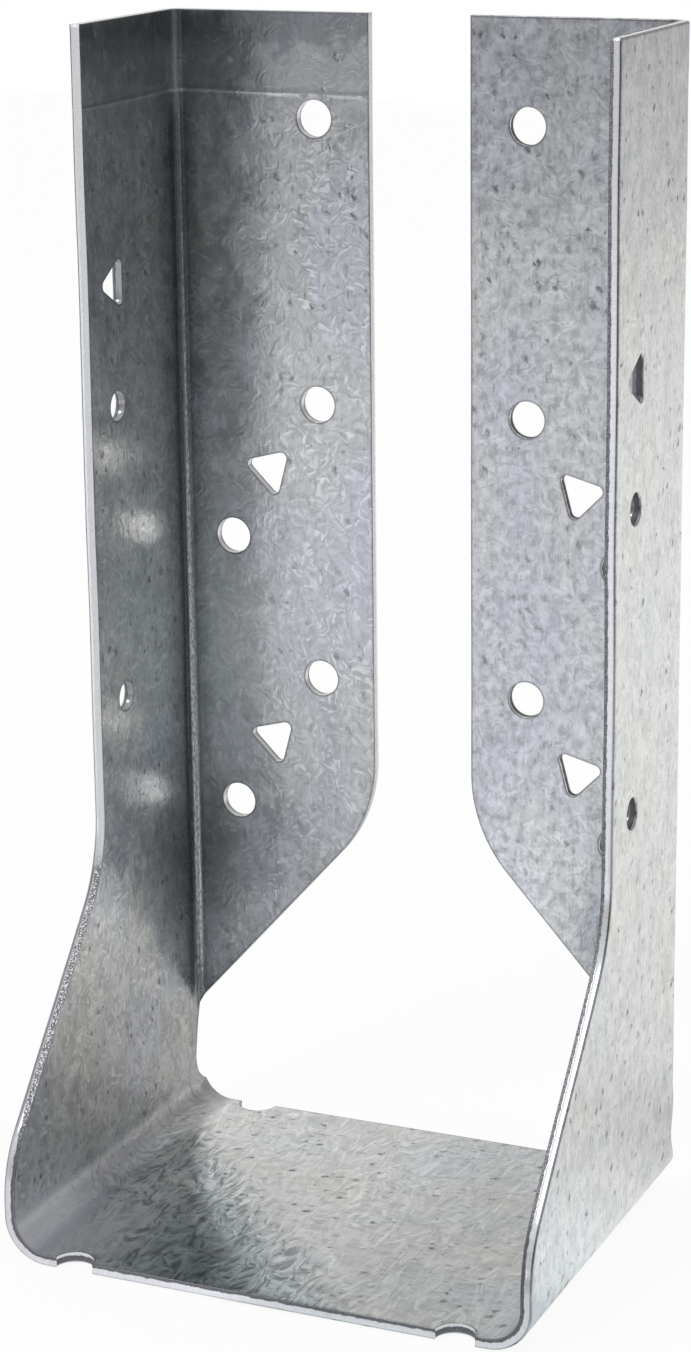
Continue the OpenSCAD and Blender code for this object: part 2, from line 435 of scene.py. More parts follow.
def buildHanger():
    inset = [l + loopNormals(l) * cutEdge[0, 0] for l in loops]
    points, away = facePoints(inset)
    triangles = faceTriangles(points, inset)
    cut = np.concatenate(loops)
    flat, along = sheetVertices(points, cut)
    rimCount, faceCount, rings = len(cut), len(points), len(cutEdge)
    firstOf = [0] + [faceCount + k * rimCount for k in range(rings - 1)]
    quads, onCut = cutQuads(firstOf)
    outerFace = triangles[:, ::-1] + firstOf[-1]
    vertices = placed(flat[:, 0], flat[:, 1], flat[:, 2]) * mm
    normals = placedNormals(flat[:, 0], flat[:, 1], flat[:, 2], along)

    mesh = bpy.data.meshes.new("foldedHanger")
    corners = np.concatenate([triangles.ravel(), outerFace.ravel(), quads.ravel()]).astype(np.int32)
    triCount, quadCount = 2 * len(triangles), len(quads)
    starts = np.concatenate([np.arange(triCount) * 3, triCount * 3 + np.arange(quadCount) * 4])
    mesh.vertices.add(len(vertices))
    mesh.vertices.foreach_set("co", vertices.ravel().astype(np.float32))
    mesh.loops.add(len(corners))
    mesh.loops.foreach_set("vertex_index", corners)
    mesh.polygons.add(triCount + quadCount)
    mesh.polygons.foreach_set("loop_start", starts.astype(np.int32))
    mesh.update(calc_edges=True)
    mesh.validate()
    mesh.polygons.foreach_set("use_smooth", np.ones(triCount + quadCount, bool))
    mesh.polygons.foreach_set("material_index", np.concatenate([np.zeros(triCount, np.int32), onCut]))
    addAttributes(mesh, flat, cut, away, faceCount - rimCount)
    mesh.normals_split_custom_set_from_vertices(normals.astype(np.float32).tolist())
    piece = addObject("hangerSheet", mesh)
    print("stage: hanger", len(vertices), "vertices,", triCount + 2 * quadCount, "triangles")
    return piece


hanger = buildHanger()


# node helpers: a node with its settings, and links or values for its inputs
def addNode(tree, kind, inputs=(), **settings):
    made = tree.nodes.new(kind)
    for name, value in settings.items():
        setattr(made, name, value)
    for key, value in dict(inputs).items():
        if isinstance(value, bpy.types.NodeSocket):
            tree.links.new(value, made.inputs[key])
        else:
            made.inputs[key].default_value = value
    return made


def maths(tree, operation, a, b=0, c=0):
    return addNode(tree, "ShaderNodeMath", {0: a, 1: b, 2: c}, operation=operation).outputs[0]


def times(tree, *factors):
    product = factors[0]
    for factor in factors[1:]:
        product = maths(tree, "MULTIPLY", product, factor)
    return product


# value * gain + offset
def linear(tree, value, gain, offset):
    return maths(tree, "MULTIPLY_ADD", value, gain, offset)


def ramp(tree, value, low, high, outLow=0, outHigh=1):
    ends = {"Value": value, "From Min": low, "From Max": high, "To Min": outLow, "To Max": outHigh}
    return addNode(tree, "ShaderNodeMapRange", ends, interpolation_type="SMOOTHSTEP").outputs[0]


# strength at a middle value, full up to the distance close and gone at the distance far
def near(tree, value, middle, far, close, strength):
    gap = maths(tree, "ABSOLUTE", maths(tree, "SUBTRACT", value, middle))
    return ramp(tree, gap, far, close, 0, strength)


def mixed(tree, factor, a, b, blend="MIX"):
    inputs = {0: factor, 6: a, 7: b}
    return addNode(tree, "ShaderNodeMix", inputs, data_type="RGBA", blend_type=blend).outputs[2]


# layers over a colour, each a mask and the name of its tone
def layered(tree, tones, colour, *layers):
    for mask, name in layers:
        colour = mixed(tree, mask, colour, tones[name])
    return colour


def vectorMaths(tree, operation, inputs, output="Vector"):
    return addNode(tree, "ShaderNodeVectorMath", inputs, operation=operation).outputs[output]


def joined(tree, x, y, z=0):
    return addNode(tree, "ShaderNodeCombineXYZ", {0: x, 1: y, 2: z}).outputs[0]


def readAttribute(tree, name, output):
    return addNode(tree, "ShaderNodeAttribute", attribute_name=name).outputs[output]


def flatNoise(tree, vector, scale, detail, roughness=0.5):
    inputs = {"Vector": vector, "Scale": scale, "Detail": detail, "Roughness": roughness}
    return addNode(tree, "ShaderNodeTexNoise", inputs, noise_dimensions="2D").outputs


def planeNoise(tree, vector, stretch, scale, detail=2, roughness=0.5):
    stretched = vectorMaths(tree, "MULTIPLY", {0: vector, 1: stretch})
    return flatNoise(tree, stretched, scale, detail, roughness)[0]


def flatCells(tree, vector):
    inputs = {"Vector": vector, "Scale": 1}
    return addNode(tree, "ShaderNodeTexVoronoi", inputs, voronoi_dimensions="2D").outputs


def newGroup(name, numbers, results):
    group = bpy.data.node_groups.new(name, "ShaderNodeTree")
    group.interface.new_socket("Vector", in_out="INPUT", socket_type="NodeSocketVector")
    for title in numbers:
        group.interface.new_socket(title, in_out="INPUT", socket_type="NodeSocketFloat")
    for title in results:
        group.interface.new_socket(title, in_out="OUTPUT", socket_type="NodeSocketFloat")
    return group, group.nodes.new("NodeGroupInput").outputs


def finishGroup(group, results):
    addNode(group, "NodeGroupOutput", results)
    return group


# zinc crystals: the sheet is split into cells, each turned its own way, and a long noise in the cell's own
# direction draws its feather-like strokes
def buildSpangleGroup():
    group, source = newGroup("spangle", ("Size",), ("Feathers", "Cell", "Facet"))
    narrow = maths(group, "DIVIDE", 1, source["Size"])
    scaled = vectorMaths(group, "SCALE", {0: source["Vector"], "Scale": narrow})
    swirl = vectorMaths(group, "SCALE", {0: flatNoise(group, scaled, 0.9, 1)[1], "Scale": 0.8})
    bent = vectorMaths(group, "ADD", {0: scaled, 1: swirl})
    cells = flatCells(group, bent)
    parts = addNode(group, "ShaderNodeSeparateColor", {0: cells["Color"]}).outputs
    angle = times(group, parts[0], 6.283)
    spun = {"Vector": bent, "Angle": angle}
    turned = addNode(group, "ShaderNodeVectorRotate", spun, rotation_type="Z_AXIS").outputs[0]
    strokes = planeNoise(group, turned, (0.8, 2.1, 1), 1.7, 2, 0.55)
    # each crystal is a facet whose height grows from its middle in a direction of its own
    fromMiddle = vectorMaths(group, "SUBTRACT", {0: bent, 1: cells["Position"]})
    leanDirection = joined(group, maths(group, "COSINE", angle), maths(group, "SINE", angle))
    facet = vectorMaths(group, "DOT_PRODUCT", {0: fromMiddle, 1: leanDirection}, "Value")
    return finishGroup(group, {"Feathers": strokes, "Cell": parts[2], "Facet": facet})


# short dark dashes along the rolling direction: stretched cells, and a small spot in each whose number is low
def buildSpeckGroup():
    group, source = newGroup("specks", ("Size", "Length", "Share", "Spot"), ("Mask",))
    narrow = maths(group, "DIVIDE", 1, source["Size"])
    stretch = joined(group, maths(group, "DIVIDE", narrow, source["Length"]), narrow)
    cells = flatCells(group, vectorMaths(group, "MULTIPLY", {0: source["Vector"], 1: stretch}))
    number = addNode(group, "ShaderNodeSeparateColor", {0: cells["Color"]}).outputs
    chosen = maths(group, "LESS_THAN", number[0], source["Share"])
    radius = times(group, source["Spot"], linear(group, number[1], 0.9, 0.35))
    spot = ramp(group, cells["Distance"], radius, 0)
    return finishGroup(group, {"Mask": times(group, spot, chosen)})


spangleGroup, speckGroup = buildSpangleGroup(), buildSpeckGroup()


def plainMaterial(name):
    material = bpy.data.materials.new(name)
    material.use_nodes = True
    material.node_tree.nodes.clear()
    return material, material.node_tree


def addMetal(tree, values, colour, rough, height):
    relief = {"Strength": values["bump"], "Distance": values["bumpMm"] * mm, "Height": height}
    bump = addNode(tree, "ShaderNodeBump", relief).outputs[0]
    inputs = {"Base Color": colour, "Metallic": values["metallic"], "Roughness": rough, "Normal": bump}
    metal = addNode(tree, "ShaderNodeBsdfPrincipled", inputs).outputs[0]
    addNode(tree, "ShaderNodeOutputMaterial", {"Surface": metal})


# the coat: tones, gloss and relief, then where its features lie in the blank. A pair of places is where a
# mask starts and where it is full, in millimetres along s or y
# among the tones below, those for corners, folds, the seat's slant and the strip's upper part are painted
# shade, and the front tone is painted light
zinc = {
    "pale": (.75, .755, .76, 1), "dull": (.58, .59, .595, 1), "crystal": (.93, .935, .94, 1),
    "shade": (.44, .445, .45, 1), "blue": (.965, .97, 1, 1), "warm": (1, .996, .965, 1),
    "speck": (.13, .13, .14, 1), "paintedShadeTone": (.17, .19, .195, 1), "frontLightTone": (.95, .95, 1, 1),
    "slantShadeTone": (.3, .325, .33, 1), "slantShadeTint": (.94, 1.03, 1.06, 1),
    "foldShadeTone": (.41, .41, .46, 1), "strokeTone": (.17, .18, .19, 1), "rimTone": (.26, .26, .275, 1),
    "stripDark": (.54, .55, .56, 1), "stripPale": (.62, .63, .64, 1),
    "metallic": 1, "roughLow": .21, "roughHigh": .29, "spangleMm": 2.6, "bumpMm": .034, "bump": 1,
    "outerShift": 500, "seatAlong": (41, 33), "rightAlong": (50, 60), "wallAlong": (55, 60),
    "lowAlong": (190, 140), "blueFrom": (flangeStart + 19, flangeStart + 23),
    "warmFrom": (flangeStart + 9, flangeStart + 14),
    "cornerFrom": (foldY - 11, foldY + 1), "cornerTo": (flangeStart + 3, flangeStart),
    "cornerAlong": (55, 70), "footAt": (80, 29.5), "footReach": (24, 17),
    "palerFrom": (flangeStart + 1, flangeStart + 4), "palerTo": (flangeStart + 19, flangeStart + 11),
    "palerAlong": (-90, -100), "foldAt": (bendX + wallStart) / 2, "foldBack": (24, 0),
    "slantAt": -16, "slantBeyond": (-11, -18), "strokesBeyond": (-8, -15), "rightSeatShade": (0, 16),
    "frontFrom": (-6, -22), "frontAlong": (-24, -31), "frontEnd": (-46, -42),
    "bendLine": foldY + .62 * flangeBend, "bendDark": foldY + .62 * flangeBend - .9,
    "lineAlong": (190, 90), "patchFrom": (flangeStart + 10.5, flangeStart + 14), "patchTo": (8.5, 6.5),
    "stripUpperShade": (5.5, 9),
    # handling marks: s, y and size
    "marks": ((-200.6, 39.9, 1.2), (-208, 57.6, 1.4), (-194.2, 56, 1.8), (-199, 64.5, 1.6),
              (-206.5, 31.6, 1.6), (-192, 59, 1.3), (-202.5, 55.5, 1.4), (-212.5, 60, .9),
              (-205, 3, 1)),
}


# where the shaded point lies in the blank, masks for the parts of the sheet, and the patterns they share
def sheetPlaces(tree):
    at = SimpleNamespace(blank=readAttribute(tree, "blank", "Vector"), rim=readAttribute(tree, "rim", "Fac"))
    at.s, at.y, n = addNode(tree, "ShaderNodeSeparateXYZ", {0: at.blank}).outputs
    at.along, at.outer = maths(tree, "ABSOLUTE", at.s), maths(tree, "LESS_THAN", n, 0)
    at.inner = maths(tree, "SUBTRACT", 1, at.outer)
    at.seat = ramp(tree, at.along, *zinc["seatAlong"])
    at.flatSeat = times(tree, at.seat, at.inner)
    at.flange = ramp(tree, at.y, foldY, flangeStart)
    at.rightFlange = times(tree, ramp(tree, at.s, *zinc["rightAlong"]), at.flange)
    # height above the pressed line of the left half
    at.line = linear(tree, at.s, -1, -witnessS)
    # the outer face reads the same patterns further along
    at.place = joined(tree, linear(tree, at.outer, zinc["outerShift"], at.s), at.y)
    # the seat's crystals are drawn out from front to back
    drawnOut = joined(tree, 1, linear(tree, at.seat, -0.62, 1), 1)
    crystalPlace = vectorMaths(tree, "MULTIPLY", {0: at.place, 1: drawnOut})
    inputs = {"Vector": crystalPlace, "Size": zinc["spangleMm"]}
    at.feathers, at.cell, at.facet = addNode(tree, "ShaderNodeGroup", inputs, node_tree=spangleGroup).outputs
    at.clouds = planeNoise(tree, at.place, (0.7, 1, 1), 0.3, 2, 0.65)
    at.scratches = planeNoise(tree, at.place, (0.6, 1.6, 1), 2, 2, 0.6)
    at.ragged = planeNoise(tree, at.place, (1, 1, 1), 0.9, 2, 0.6)
    at.streaks = planeNoise(tree, at.place, (0.1, 1, 1), 2.2, 2, 0.6)
    at.drawn = planeNoise(tree, at.place, (0.12, 1, 1), 1.1, 2, 0.65)
    return at


# crystals show in some places more than in others and little on the outer face; on the seat they stand in
# relief more than in colour, and the right flange shows blotches instead
def crystalColour(tree, at):
    crystals = times(tree, ramp(tree, at.cell, 0.1, 0.8, 0.35, 1), linear(tree, at.outer, -0.6, 1),
                     linear(tree, at.seat, -0.3, 1), linear(tree, at.rightFlange, -0.45, 1))
    blotches = planeNoise(tree, at.place, (0.8, 1, 1), 0.62, 2, 0.62)
    darker = times(tree, ramp(tree, blotches, 0.48, 0.32), linear(tree, at.rightFlange, 0.45, 0.2))
    paler = times(tree, ramp(tree, blotches, 0.52, 0.68), linear(tree, at.rightFlange, 0.35, 0.15))
    bright = times(tree, ramp(tree, at.feathers, 0.47, 0.68), crystals)
    streaked = times(tree, ramp(tree, at.streaks, 0.42, 0.72), linear(tree, at.outer, 0.12, 0.2))
    colour = mixed(tree, ramp(tree, at.clouds, 0.3, 0.7), zinc["dull"], zinc["pale"])
    return layered(tree, zinc, colour, (darker, "shade"), (paler, "crystal"), (bright, "crystal"),
                   (ramp(tree, at.feathers, 0.46, 0.28, 0, 0.35), "shade"), (streaked, "crystal"))


# a slow change between bluish and warm grey; the flanges are warmer halfway across and bluer by their free
# edges, and the seat and the outer face keep nearer to grey
def tinted(tree, at, colour):
    tints = planeNoise(tree, at.place, (0.6, 1, 1), 0.07, 1)
    tints = linear(tree, ramp(tree, at.y, *zinc["blueFrom"]), -0.14, tints)
    tints = linear(tree, ramp(tree, at.y, *zinc["warmFrom"]), 0.1, tints)
    amount, middle = linear(tree, maths(tree, "MAXIMUM", at.seat, at.outer), -0.6, 1), 0.51
    tints = linear(tree, maths(tree, "SUBTRACT", tints, middle), amount, middle)
    blue, warm = (mixed(tree, 1, colour, zinc[tone], "MULTIPLY") for tone in ("blue", "warm"))
    return mixed(tree, ramp(tree, tints, 0.38, 0.64), blue, warm)


# dark specks and short dashes, fewer on the lower part of the flanges
def speckMask(tree, at):
    jogged = vectorMaths(tree, "ADD", {0: at.place, 1: times(tree, at.ragged, 1.6)})
    names = ("Vector", "Size", "Length", "Share", "Spot")
    specks, dashes = (addNode(tree, "ShaderNodeGroup", zip(names, values), node_tree=speckGroup).outputs[0]
                      for values in ((jogged, 2.2, 1.25, 0.36, 0.3), (at.place, 1, 3.2, 0.25, 0.32)))
    crowd = planeNoise(tree, at.place, (1, 1, 1), 0.16, 1)
    dark = maths(tree, "MAXIMUM", times(tree, specks, ramp(tree, crowd, 0.35, 0.65, 0.25, 0.85)),
                 times(tree, dashes, linear(tree, at.outer, -0.08, 0.4)))
    lowFlange = times(tree, at.flange, ramp(tree, at.along, *zinc["lowAlong"]))
    return times(tree, dark, linear(tree, lowFlange, -0.5, 1))


# painted shade darkens the inner face inside the flange folds, most of all by the foot, and painted light
# makes the left flange a little paler past its fold
def flangeTones(tree, at, colour):
    corner = times(tree, ramp(tree, at.y, *zinc["cornerFrom"]), ramp(tree, at.y, *zinc["cornerTo"]),
                   ramp(tree, at.along, *zinc["cornerAlong"], 0, 0.38))
    fromFoot = (maths(tree, "DIVIDE", maths(tree, "SUBTRACT", value, middle), reach)
                for value, middle, reach in zip((at.along, at.y), zinc["footAt"], zinc["footReach"]))
    fromFoot = vectorMaths(tree, "LENGTH", {0: joined(tree, *fromFoot)}, "Value")
    corner = maths(tree, "MAXIMUM", corner, ramp(tree, fromFoot, 1, 0.1, 0, 0.66))
    paintedPaleBand = times(tree, ramp(tree, at.y, *zinc["palerFrom"]), ramp(tree, at.y, *zinc["palerTo"]),
                     ramp(tree, at.s, *zinc["palerAlong"], 0, 0.28), at.inner)
    return layered(tree, zinc, colour, (times(tree, corner, at.inner), "paintedShadeTone"), (paintedPaleBand, "crystal"))


# painted shade darkens the seat along a slant at its left front, with a greener painted shade tint and
# crystal strokes beyond it;
# painted light makes the front of its left fold paler, and painted shade makes its right half a little duller
def seatTones(tree, at, colour):
    slant = linear(tree, at.s, 0.72, times(tree, at.y, 0.69))
    slantShade = times(tree, near(tree, slant, zinc["slantAt"], 7, 2, 0.3), at.flatSeat)
    beyond = times(tree, ramp(tree, slant, *zinc["slantBeyond"]), at.flatSeat)
    darkSeat = times(tree, ramp(tree, slant, *zinc["strokesBeyond"]), at.flatSeat)
    pale = ramp(tree, at.feathers, 0.54, 0.64, 0, 0.55)
    dark = ramp(tree, at.feathers, 0.45, 0.36, 0, 0.6)
    onFold = times(tree, ramp(tree, at.s, *zinc["frontAlong"]), ramp(tree, at.s, *zinc["frontEnd"]))
    frontLeftLight = times(tree, ramp(tree, at.y, *zinc["frontFrom"]), onFold, at.inner, 0.75)
    rightSeatShade = times(tree, ramp(tree, at.s, *zinc["rightSeatShade"], 0, 0.22), at.flatSeat)
    colour = layered(tree, zinc, colour, (slantShade, "slantShadeTone"))
    colour = mixed(tree, beyond, colour, zinc["slantShadeTint"], "MULTIPLY")
    return layered(tree, zinc, colour, (times(tree, darkSeat, pale), "crystal"),
                   (times(tree, darkSeat, dark), "strokeTone"),
                   (frontLeftLight, "frontLightTone"), (rightSeatShade, "slantShadeTone"))


# rims are dulled in a narrow line; along the fold of a flange painted shade darkens the inner face, with a
# broken painted highlight along the bend
def edgeTones(tree, at, colour):
    dulled = times(tree, ramp(tree, at.rim, 0.42, 0.16, 0, 0.6), linear(tree, at.outer, -0.55, 1))
    onWall = ramp(tree, at.along, *zinc["wallAlong"])
    bendShade = times(tree, near(tree, at.y, zinc["bendDark"], 3, 1.6, 0.7), at.inner, onWall)
    acrossBend = maths(tree, "ABSOLUTE", maths(tree, "SUBTRACT", at.y, zinc["bendLine"]))
    lineWidth = ramp(tree, at.along, *zinc["lineAlong"], 0.26, 1)
    bright = times(tree, ramp(tree, maths(tree, "DIVIDE", acrossBend, lineWidth), 1, 0.3),
                   ramp(tree, at.scratches, 0.36, 0.6, 0.15, 0.9), times(tree, at.inner, onWall))
    return layered(tree, zinc, colour, (dulled, "rimTone"), (bendShade, "paintedShadeTone"), (bright, "crystal"))


# above the pressed line of the left half the coat is darker and nearly plain, drawn out along the sheet, with
# a paler patch by the free edge and painted shade on its upper part; the dark fades out a little way below
# the line
def stripTones(tree, at, colour):
    uneven = linear(tree, at.clouds, 10, -5)
    unevenLine = maths(tree, "ADD", at.line, uneven)
    patch = times(tree, ramp(tree, maths(tree, "ADD", at.y, uneven), *zinc["patchFrom"]),
                  ramp(tree, unevenLine, *zinc["patchTo"]))
    strip = mixed(tree, ramp(tree, at.drawn, 0.35, 0.7), zinc["stripDark"], zinc["stripPale"])
    strip = layered(tree, zinc, strip, (times(tree, patch, 0.6), "pale"),
                    (ramp(tree, unevenLine, *zinc["stripUpperShade"], 0, 0.45), "paintedShadeTone"))
    fade = times(tree, ramp(tree, at.line, -5, -0.2, 0, 0.55), ramp(tree, at.s, 0, -1))
    above = times(tree, ramp(tree, at.line, -0.15, 0.15), 0.85)
    return mixed(tree, maths(tree, "MAXIMUM", fade, above), colour, strip)


# handling marks: inside each spot the coat is broken by bright and dark scratches; the pressed line is scored
def markTones(tree, at, colour):
    spots = 0
    for markS, markY, reach in zinc["marks"]:
        gap = vectorMaths(tree, "DISTANCE", {0: at.blank, 1: (markS, markY, t / 2)}, "Value")
        gap = linear(tree, at.ragged, 2.4 * reach, gap)
        spots = maths(tree, "MAXIMUM", ramp(tree, gap, reach * 1.9, reach * 1.4), spots)
    pale = ramp(tree, at.scratches, 0.52, 0.6, 0, 0.8)
    dark = ramp(tree, at.scratches, 0.44, 0.38, 0, 0.75)
    scored = times(tree, ramp(tree, maths(tree, "ABSOLUTE", at.line), 0.2, 0.06),
                   ramp(tree, at.drawn, 0.3, 0.6, 0.4, 0.95))
    return layered(tree, zinc, colour, (times(tree, spots, pale), "crystal"),
                   (times(tree, spots, dark), "speck"), (scored, "crystal"))


# height of the coat's relief: streaks, most on the walls, then the crystals' strokes and facets
def coatHeight(tree, at):
    onWall = times(tree, ramp(tree, at.along, 48, 56), ramp(tree, at.y, foldY, foldY - 2))
    share = linear(tree, at.seat, 0.35, linear(tree, at.rightFlange, -0.35, 0.8))
    strokes = times(tree, at.feathers, share)
    height = linear(tree, at.streaks, linear(tree, onWall, 0.3, 0.2), strokes)
    return linear(tree, at.facet, 0.55, height)


def buildZinc():
    material, tree = plainMaterial("galvanisedSheet")
    at = sheetPlaces(tree)
    colour = tinted(tree, at, crystalColour(tree, at))
    dark = speckMask(tree, at)
    colour = flangeTones(tree, at, layered(tree, zinc, colour, (dark, "speck")))
    # along the seat folds painted shade makes the inner face duller and a little violet
    fold = times(tree, near(tree, at.along, zinc["foldAt"], 6, 1.5, 0.55),
                 ramp(tree, at.y, *zinc["foldBack"], 0.35, 1))
    colour = layered(tree, zinc, colour, (times(tree, fold, at.inner), "foldShadeTone"))
    for tones in (seatTones, edgeTones, stripTones, markTones):
        colour = tones(tree, at, colour)
    rough = ramp(tree, at.clouds, 0.25, 0.75, zinc["roughLow"], zinc["roughHigh"])
    rough = linear(tree, fold, 0.3, linear(tree, dark, 0.25, rough))
    addMetal(tree, zinc, colour, rough, coatHeight(tree, at))
    return material


# the cut faces: tones and gloss, and how high in the sheet the torn zone starts on each part
cutFace = {
    "torn": (.17, .17, .18, 1), "tornPale": (.4, .4, .415, 1), "burnished": (.86, .86, .88, 1),
    "grain": (.78, .78, .8, 1), "upright": (.93, .93, .94, 1), "punchedBright": (.74, .74, .75, 1),
    "punchedTorn": (.13, .13, .14, 1), "tornRough": .5, "burnishedRough": .17, "metallic": .6,
    "rightBreak": .32, "leftBreak": -.15, "seatBreak": .3, "bumpMm": .08, "bump": .6,
}


# cut edges: a torn grey zone towards the inner face and a bright burnished zone towards the outer face
def buildCutFace():
    material, tree = plainMaterial("shearedEdge")
    blank, punched = readAttribute(tree, "blank", "Vector"), readAttribute(tree, "punched", "Fac")
    s, y, n = addNode(tree, "ShaderNodeSeparateXYZ", {0: blank}).outputs
    along = maths(tree, "ABSOLUTE", s)
    ragged = planeNoise(tree, blank, (1, 1, 1), 0.9, 3, 0.65)
    lines = planeNoise(tree, blank, (1, 1, 1), 3, 2)
    pits = addNode(tree, "ShaderNodeTexNoise", {"Vector": blank, "Scale": 4, "Detail": 2}).outputs[0]
    leftBreak = cutFace["leftBreak"] - cutFace["seatBreak"]
    zoneEdge = maths(tree, "ADD", ramp(tree, s, 52, 60, cutFace["seatBreak"], cutFace["rightBreak"]),
                     ramp(tree, s, -54, -62, 0, leftBreak))
    # a hole is punched from the inner face, so its torn zone is on the other side
    height = times(tree, maths(tree, "SUBTRACT", n, zoneEdge), linear(tree, punched, -2, 1))
    height = linear(tree, maths(tree, "SUBTRACT", ragged, 0.5), 0.5, height)
    torn = ramp(tree, height, -0.06, 0.08)
    burnished = mixed(tree, ramp(tree, lines, 0.35, 0.7), cutFace["burnished"], cutFace["grain"])
    broken = mixed(tree, ramp(tree, pits, 0.4, 0.65), cutFace["torn"], cutFace["tornPale"])
    broken = layered(tree, cutFace, broken, (ramp(tree, along, 62, 54, 0, 0.7), "punchedTorn"))
    # the left wall's sloping edge is speckled bright, with a dark outer part, and its upright edge is smooth
    leftEdge, uprightY = ramp(tree, s, -52, -60), back - sheet["wallDepth"]
    upright = ramp(tree, y, uprightY - 2, uprightY - 0.5)
    glints = times(tree, leftEdge, ramp(tree, pits, 0.52, 0.6), torn)
    slopeOuter = times(tree, leftEdge, maths(tree, "SUBTRACT", 1, upright),
                       ramp(tree, n, -0.05, -0.4, 0, 0.8))
    colour = layered(tree, cutFace, mixed(tree, torn, burnished, broken), (glints, "burnished"),
                     (slopeOuter, "torn"), (times(tree, leftEdge, upright, 0.85), "upright"))
    # holes are duller, and painted shade makes those in the walls darker still
    holes = times(tree, punched, ramp(tree, along, 40, 50, 0, 0.75))
    inHole = mixed(tree, torn, cutFace["punchedBright"], cutFace["punchedTorn"])
    deep = maths(tree, "ADD", ramp(tree, s, 46, 50, 0, 0.75),
                 ramp(tree, s, -46, -50, 0, 0.45))
    wallHoles = times(tree, punched, ramp(tree, y, foldY, foldY - 2))
    colour = mixed(tree, holes, colour, inHole)
    colour = layered(tree, cutFace, colour, (times(tree, wallHoles, deep), "punchedTorn"))
    rough = ramp(tree, torn, 0, 1, cutFace["burnishedRough"], cutFace["tornRough"])
    addMetal(tree, cutFace, colour, rough, times(tree, pits, torn))
    return material


hanger.data.materials.append(buildZinc())
hanger.data.materials.append(buildCutFace())
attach(hanger, "root")
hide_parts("hanger")
print("stage: materials")


stage = {"floor": 3.0, "floorZ": -0.0002, "floorColour": (0.9, 0.9, 0.9, 1), "whiteness": 0.9, "world": 0.9}

# the studio round the sheet, seen by its gloss only, with every brightness listed in the table. Each row of
# light goes round by turn, in degrees from the front towards the right; the rows lie at the floor distances,
# in metres, and then at the rises over the floor's end, in degrees
# the floor rows near the sheet at the front right hold a painted shadow of the sheet, which its gloss shows
room = {"turns": (-180, -165, -150, -120, -90, -60, -30, -13, -3, 12, 30, 60, 90, 120, 150, 168, 180),
        "distances": (0.032, 0.075, 0.1, 0.18, 0.28, 0.45, 0.8, 1.4), "rises": (8, 16, 21, 27, 50, 90),
        "tintTurns": (-140, -60, -15, 15, 60, 120),
        "tints": ((1.0, 1.0, .985), (.97, .985, 1.045), (.97, .985, 1.045),
                  (.91, 1.0, 1.045), (.93, 1.0, 1.03), (1.0, 1.0, .985)),
        "light": ((.32, .32, .36, .45, .80, .90, .90, 1.0, .80, .70, .80, .95, 1.1, 1.0, .50, .34, .32),
                  (.44, .46, .54, .60, .50, .45, .75, 1.5, .12, .05, .25, .50, .90, .85, .57, .48, .44),
                  (.50, .56, .70, .80, .55, .40, .76, 1.45, .12, .05, .14, .40, .80, .94, .88, .60, .50),
                  (.75, .85, .92, .88, .60, .40, .50, .98, .42, .34, .48, .52, .80, .96, .96, .85, .75),
                  (.98, 1.0, 1.0, .88, .58, .50, .90, .95, .60, .50, .58, .52, .80, .96, .97, .98, .98),
                  (1.0, 1.0, 1.0, .85, .50, .45, .86, .87, .36, .19, .20, .30, .70, .98, .98, 1.0, 1.0),
                  (.90, .90, .90, .80, .40, .38, .87, .90, .22, .08, .07, .19, .60, .90, .92, .90, .90),
                  (.65, .72, .80, .75, .35, .28, .40, .38, .14, .09, .09, .18, .50, .55, .62, .68, .65),
                  (.45, .65, .80, .75, .35, .26, .29, .28, .11, .08, .08, .16, .36, .34, .34, .36, .45),
                  (.45, .80, .95, .85, .40, .30, .32, .28, .10, .06, .06, .12, .36, .34, .33, .34, .45),
                  (.50, .95, 1.2, .90, .45, .40, .40, .35, .15, .08, .08, .15, .35, .34, .32, .33, .50),
                  (.50, .55, .55, .55, .55, .50, .50, .45, .25, .20, .20, .25, .35, .35, .32, .35, .50),
                  (.50, .50, .50, .60, .70, .70, .70, .60, .50, .50, .50, .50, .50, .50, .50, .50, .50),
                  (.70,) * 17)}


def shone(tree, kind, strength=1.0, colour=(1, 1, 1, 1)):
    return addNode(tree, kind, {"Color": colour, "Strength": strength}).outputs[0]


def buildFloor():
    half = stage["floor"] / 2
    mesh = bpy.data.meshes.new("floor")
    corners = [(-half, -half, 0), (half, -half, 0), (half, half, 0), (-half, half, 0)]
    mesh.from_pydata(corners, [], [(0, 1, 2, 3)])
    floor = addObject("floor", mesh)
    floor.location.z = stage["floorZ"]
    material, tree = plainMaterial("paleFloor")
    plain = addNode(tree, "ShaderNodeBsdfDiffuse", {"Color": stage["floorColour"]}).outputs[0]
    glow = shone(tree, "ShaderNodeEmission")
    seen = addNode(tree, "ShaderNodeLightPath").outputs["Is Camera Ray"]
    white = times(tree, seen, stage["whiteness"])
    mix = addNode(tree, "ShaderNodeMixShader", {0: white, 1: plain, 2: glow}).outputs[0]
    addNode(tree, "ShaderNodeOutputMaterial", {"Surface": mix})
    mesh.materials.append(material)


